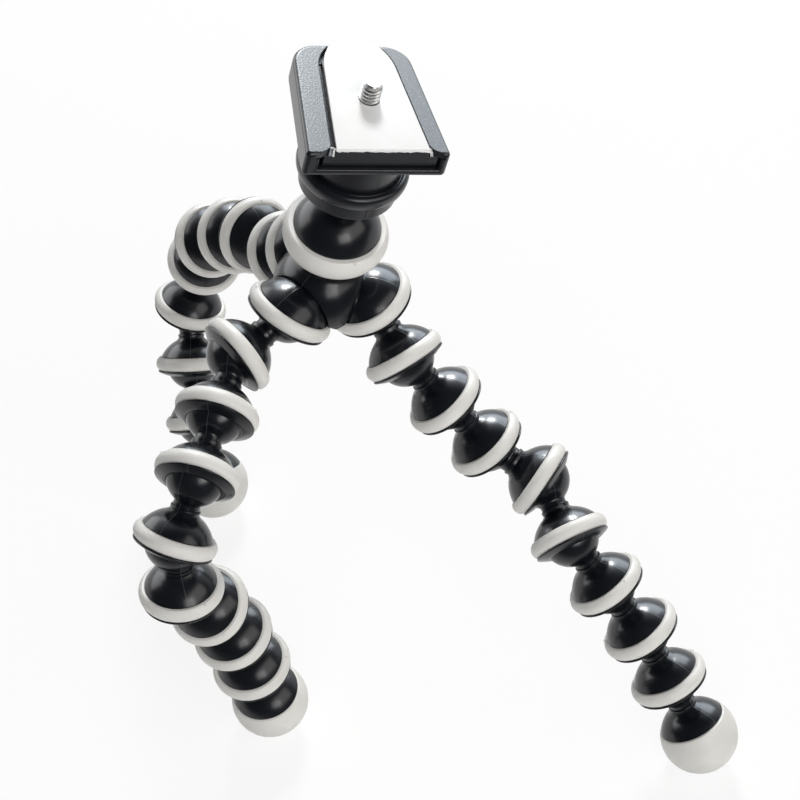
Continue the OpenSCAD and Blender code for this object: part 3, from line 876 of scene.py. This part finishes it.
# %% Plate
PLATE_LOW, FLANGE_TOP, PLATE_TOP, PAD_TOP = 22.4, 26.15, 28.0, 29.0
PLATE_FRONT, PLATE_BACK = -15.4, 21.35
GAP = 0.25
INSET = GAP + PLATE_X - SLOT_X
SCREW_LOW, SCREW_HEAD, SCREW_HEAD_R, SHANK_R, PAD_HOLE_R = 22.6, 2, 7, 2.5, 3.15


def web_plan():
    """Plan of the plate between the rails, with its tongue between the stops."""
    a, b = side_x(PLATE_FRONT) - RAIL_W - INSET, side_x(PLATE_BACK) - RAIL_W - INSET
    c = STOP_GAP / 2 - GAP
    plan = [(-a, PLATE_FRONT), (a, PLATE_FRONT), (b, PLATE_BACK), (c, BACK_Y), (-c, BACK_Y), (-b, PLATE_BACK)]
    return rounded(plan, {2: 3.2, 5: 3.2})


def rod(radius, high=PAD_TOP + 1):
    """A round bar on the screw's axis, from under the plate up to a height."""
    low = RECEIVER_LOW
    bm = turn([(0, low), ("line", radius, low), ("line", radius, high), ("line", 0, high)], steps=48)
    bm.transform(Matrix.Translation((0, screw_at.y, 0)))
    return bm


flange = slab(strip(WALL_T + INSET, PLATE_FRONT, PLATE_BACK), PLATE_LOW, FLANGE_TOP)
shown = edges_where(flange, lambda x, y, z: y < PLATE_FRONT + 0.01 or z > FLANGE_TOP - 0.01)
soften(flange, shown, 0.35, 3)
web = slab(web_plan(), RAIL_LOW + GAP, PLATE_TOP)
stem = slab(strip(RAIL_W + INSET, PLATE_FRONT, PLATE_BACK), PLATE_LOW + 0.5, PLATE_TOP - 0.2)
head_room = rod(SCREW_HEAD_R + 0.1, SCREW_LOW + SCREW_HEAD + 0.1)
plate = carved(flange, [
    ("UNION", stem), ("UNION", web), ("DIFFERENCE", rod(SHANK_R + 0.1)), ("DIFFERENCE", head_room),
])
print("plate:", len(plate.faces), "faces")
keep(
    "quick_release_plate", plate, plate_place, "plate", "head_plastic", head_plastic, "slide_plate",
    flat=True,
)


# %% Pad
def sliver(bm, path, width, thickness):
    """A thin strip of rubber along a few points in millimetres."""
    strip_bm = bmesh.new()
    side = Vector((width / 2, 0, 0))
    rows = [[strip_bm.verts.new((Vector(p) + side * k) * MM) for k in (-1, 1)] for p in path]
    for lower, upper in zip(rows, rows[1:]):
        strip_bm.faces.new((lower[0], lower[1], upper[1], upper[0]))
    bmesh.ops.solidify(strip_bm, geom=strip_bm.faces[:], thickness=thickness * MM)
    bmesh.ops.recalc_face_normals(strip_bm, faces=strip_bm.faces[:])
    join(bm, strip_bm)


pad = carved(slab(web_plan(), PLATE_TOP, PAD_TOP), [("DIFFERENCE", rod(PAD_HOLE_R))])
screw_y = screw_at.y / MM
rim = edges_where(pad, lambda x, y, z: z > PAD_TOP - 0.01 and math.hypot(x, y - screw_y) > PAD_HOLE_R + 1)
soften(pad, rim, 0.22, 3)
front = edges_where(pad, lambda x, y, z: y < PLATE_FRONT + 0.3 and z < PAD_TOP - 0.3)
bmesh.ops.subdivide_edges(pad, edges=front, cuts=70, use_grid_fill=True)
for v in pad.verts:
    if v.co.y < (PLATE_FRONT + 0.01) * MM and v.co.z < (PLATE_TOP + 0.01) * MM:
        along = v.co.x / MM
        chipped = noise.noise((along * 0.55, 3.1, 0)) + 0.6 * noise.noise((along * 1.9, 8.4, 0))
        v.co.z -= 0.45 * MM * chipped
        v.co.y -= 0.12 * MM * noise.noise((along * 0.9, 5.7, 0))
end = side_x(PLATE_FRONT) - RAIL_W - INSET
sliver(pad, [(-end + 0.4, -15.3, 28.6), (-end - 0.6, -15.0, 28.7), (-end - 1.5, -14.4, 28.9)], 1.2, 0.5)
sliver(pad, [(-end - 0.55, -15.2, 28.6), (-end - 0.6, -15.5, 27.6), (-end - 0.5, -15.6, 26.3)], 0.5, 0.3)
sliver(pad, [(end - 0.1, -14.6, 28.9), (end + 0.35, -15.4, 28.2), (end + 0.8, -15.7, 26.7)], 0.8, 0.5)
print("pad:", len(pad.faces), "faces")
keep("white_pad", pad, plate_place, "plate", "white_pad", white_pad, "plate_pad")

# %% [markdown]
# ## Camera screw
#
# The screw carries a quarter-inch thread with 20 turns to the inch. The thread's ridge is a small
# section spun round the axis while it climbs one pitch a turn, which is how a tool cuts it.

# %% Screw
THREAD_PITCH, ROOT_R, CREST_R = 1.27, 2.35, 3.1
SCREW_TOP, STEPS_A_TURN, TURNS = 35.25, 40, 4.6
screw_neck = SCREW_LOW + SCREW_HEAD
screw = turn([
    (0, SCREW_LOW), ("line", SCREW_HEAD_R, SCREW_LOW, 0.3), ("line", SCREW_HEAD_R, screw_neck, 0.3),
    ("line", SHANK_R, screw_neck), ("line", SHANK_R, SCREW_TOP - 0.55),
    ("line", 2.2, SCREW_TOP, 0.25), ("line", 0, SCREW_TOP),
], steps=48)
ridge = bmesh.new()
section = [(ROOT_R, -0.58), (CREST_R, -0.12), (CREST_R, 0.12), (ROOT_R, 0.58)]
corners = [ridge.verts.new((r * MM, 0, (PLATE_TOP + 0.7 + z) * MM)) for r, z in section]
edges = [ridge.edges.new(pair) for pair in zip(corners, corners[1:] + corners[:1])]
bmesh.ops.spin(
    ridge, geom=corners + edges, cent=(0, 0, 0), axis=(0, 0, 1),
    dvec=(0, 0, THREAD_PITCH * MM / STEPS_A_TURN), angle=math.tau * TURNS,
    steps=round(STEPS_A_TURN * TURNS), use_merge=False, use_normal_flip=False, use_duplicate=False,
)
bmesh.ops.holes_fill(ridge, edges=[e for e in ridge.edges if len(e.link_faces) == 1], sides=4)
bmesh.ops.recalc_face_normals(ridge, faces=ridge.faces[:])
join(screw, ridge)
bmesh.ops.translate(screw, vec=(0, screw_at.y, 0), verts=screw.verts[:])
print("screw:", len(screw.faces), "faces")


def from_axis(co):
    """Distance from the screw's axis as X, with the bare tip counted as a crest."""
    out = math.hypot(co.x, co.y - screw_at.y) if co.z < (SCREW_TOP - 0.6) * MM else CREST_R * MM
    return Vector((out, 0, co.z))


keep(
    "camera_screw_thread", screw, plate_place, "screw", "screw_steel", screw_steel, "camera_screw",
    home_of=from_axis,
)

# %% [markdown]
# ## Floor, light and camera
#
# The tripod stands on white paper that sweeps up behind it, in a dim room. The paper could be a real
# curved sheet, but that would hide the tripod from behind, so the floor is a plane and the world is
# white towards the back. Light Path answers each kind of ray: the camera sees plain white, reflections
# see the white paper at the back and the dim room in front, and the rest is a soft even light. A light
# sample gets none of those answers, so the floor and the world aren't sampled as lamps.

# %% Floor
def choose(tree, factor, first, second):
    """One shader or another, by a value."""
    mix = add(tree, "ShaderNodeMixShader")
    for socket, source in zip(mix.inputs, (factor, first, second)):
        tree.links.new(source, socket)
    return mix.outputs[0]


def depth_of(tree, coordinate):
    """How far back a point or a direction lies, which is the Y of one kind of texture coordinate."""
    where = add(tree, "ShaderNodeTexCoord")
    parts = add(tree, "ShaderNodeSeparateXYZ")
    tree.links.new(where.outputs[coordinate], parts.inputs[0])
    return parts.outputs["Y"]


PAPER_SHARE, DIM_PAPER, LIT_PAPER = 0.84, 0.12, 0.95
DIM_BEFORE, LIT_BEYOND = -0.28, -0.06
floor_bm = bmesh.new()
bmesh.ops.create_grid(floor_bm, x_segments=2, y_segments=2, size=3.0)
floor = scratch_object("paper_floor", floor_bm)
paper = bpy.data.materials.new("white_paper")
paper.use_nodes = True
tree = paper.node_tree
shader = tree.nodes["Principled BSDF"]
shader.inputs["Base Color"].default_value = (0.96, 0.96, 0.96, 1)
shader.inputs["Roughness"].default_value = 0.9
shader.inputs["Specular IOR Level"].default_value = 0.0
seen = add(tree, "ShaderNodeLightPath")
mirrored = add(tree, "ShaderNodeEmission")
lit = ramp(tree, depth_of(tree, "Object"), DIM_BEFORE, LIT_BEYOND, DIM_PAPER, LIT_PAPER, smooth=True)
tree.links.new(lit, mirrored.inputs["Strength"])
glow = add(tree, "ShaderNodeEmission", Strength=1.0)
share = ramp(tree, seen.outputs["Is Camera Ray"], 0, 1, 0, PAPER_SHARE)
for_camera = choose(tree, share, shader.outputs[0], glow.outputs[0])
for_gloss = choose(tree, seen.outputs["Is Glossy Ray"], for_camera, mirrored.outputs[0])
tree.links.new(for_gloss, tree.nodes["Material Output"].inputs["Surface"])
paper.cycles.emission_sampling = "NONE"
floor.data.materials.append(paper)
print("floor:", floor.dimensions[:])

# %% World
EVEN_LIGHT, DIM_ROOM = 0.3, 0.06
world = bpy.data.worlds.new("studio")
bpy.context.scene.world = world
world.use_nodes = True
tree = world.node_tree
even = tree.nodes["Background"]
even.inputs["Strength"].default_value = EVEN_LIGHT
white = add(tree, "ShaderNodeBackground", Strength=1.0)
room = add(tree, "ShaderNodeBackground", Color=(0.92, 0.96, 1.0, 1))
seen = add(tree, "ShaderNodeLightPath")
behind = ramp(tree, depth_of(tree, "Generated"), 0.1, 0.6, DIM_ROOM, 1.0, smooth=True)
tree.links.new(behind, room.inputs["Strength"])
for_gloss = choose(tree, seen.outputs["Is Glossy Ray"], even.outputs[0], room.outputs[0])
for_camera = choose(tree, seen.outputs["Is Camera Ray"], for_gloss, white.outputs[0])
tree.links.new(for_camera, tree.nodes["World Output"].inputs["Surface"])
world.cycles.sampling_method = "NONE"
print("world:", len(tree.nodes), "nodes")

# %% [markdown]
# One compact lamp high behind the tripod gives every dome its bright spot and the screw its shadow. Three
# dim panels, behind, to the left and in front, only show in the gloss. The panel to the right lights the
# rubber too, and so does a large soft fill from the camera's side, which the black plastic doesn't show.

# %% Softboxes
MIDDLE = Vector((0, 0, 0.12))


def softbox(name, heading, rise, distance, width, height, watts, colour=(1, 1, 1)):
    """A lamp that faces the tripod from a heading, in degrees from the back, and a rise."""
    heading, rise = math.radians(heading), math.radians(rise)
    away = Vector((math.sin(heading) * math.cos(rise), math.cos(heading) * math.cos(rise), math.sin(rise)))
    lamp = bpy.data.lights.new(name, "AREA")
    lamp.shape, lamp.size, lamp.size_y, lamp.energy = "RECTANGLE", width, height, watts
    lamp.color = colour
    box = bpy.data.objects.new(name, lamp)
    box.location = MIDDLE + distance * away
    box.rotation_euler = (-away).to_track_quat("-Z", "Y").to_euler()
    box.visible_camera = False
    bpy.context.scene.collection.objects.link(box)
    return box


softbox("key_softbox", 1, 40, 1.4, 0.32, 0.32, 15)
back = softbox("back_panel", 12, 31, 1.4, 1.5, 0.95, 26, (0.82, 0.91, 1.0))
softbox("right_panel", 120, 34, 1.3, 1.4, 0.8, 6, (1.0, 0.97, 0.93))
left = softbox("left_panel", -58, 20, 1.3, 1.3, 0.8, 9)
window = softbox("front_panel", 155, 27, 1.3, 0.6, 0.45, 3.2)
fill = softbox("front_fill", 176, 42, 1.3, 1.1, 1.1, 9)
for panel in (back, left, window):
    panel.visible_diffuse = False
fill.visible_glossy = False

# %% [markdown]
# The camera looks down at the tripod from in front. Its place, direction and lens came from one fit to
# all the rings and feet, so they are plain numbers here. The focal length was found in pixels.

# %% Camera
LENS_PIXELS, PICTURE_PIXELS, SENSOR = 2197, 800, 36
camera_data = bpy.data.cameras.new("photo_camera")
camera_data.sensor_width = SENSOR
camera_data.lens = LENS_PIXELS / PICTURE_PIXELS * SENSOR
camera_data.clip_start, camera_data.clip_end = 0.05, 20
camera = bpy.data.objects.new("photo_camera", camera_data)
stand = Matrix.Translation((-0.007984, -0.489624, 0.615987))
forward = Vector((-0.004646, 0.684808, -0.728709))
across = Vector((0.999987, 0.001562, -0.004907))
aim = Matrix((across, across.cross(forward), -forward)).transposed()
camera.matrix_world = stand @ aim.to_4x4()
bpy.context.scene.collection.objects.link(camera)
bpy.context.scene.camera = camera
bpy.context.scene.view_settings.view_transform = "Standard"
print("lens:", round(camera_data.lens, 2), "mm")
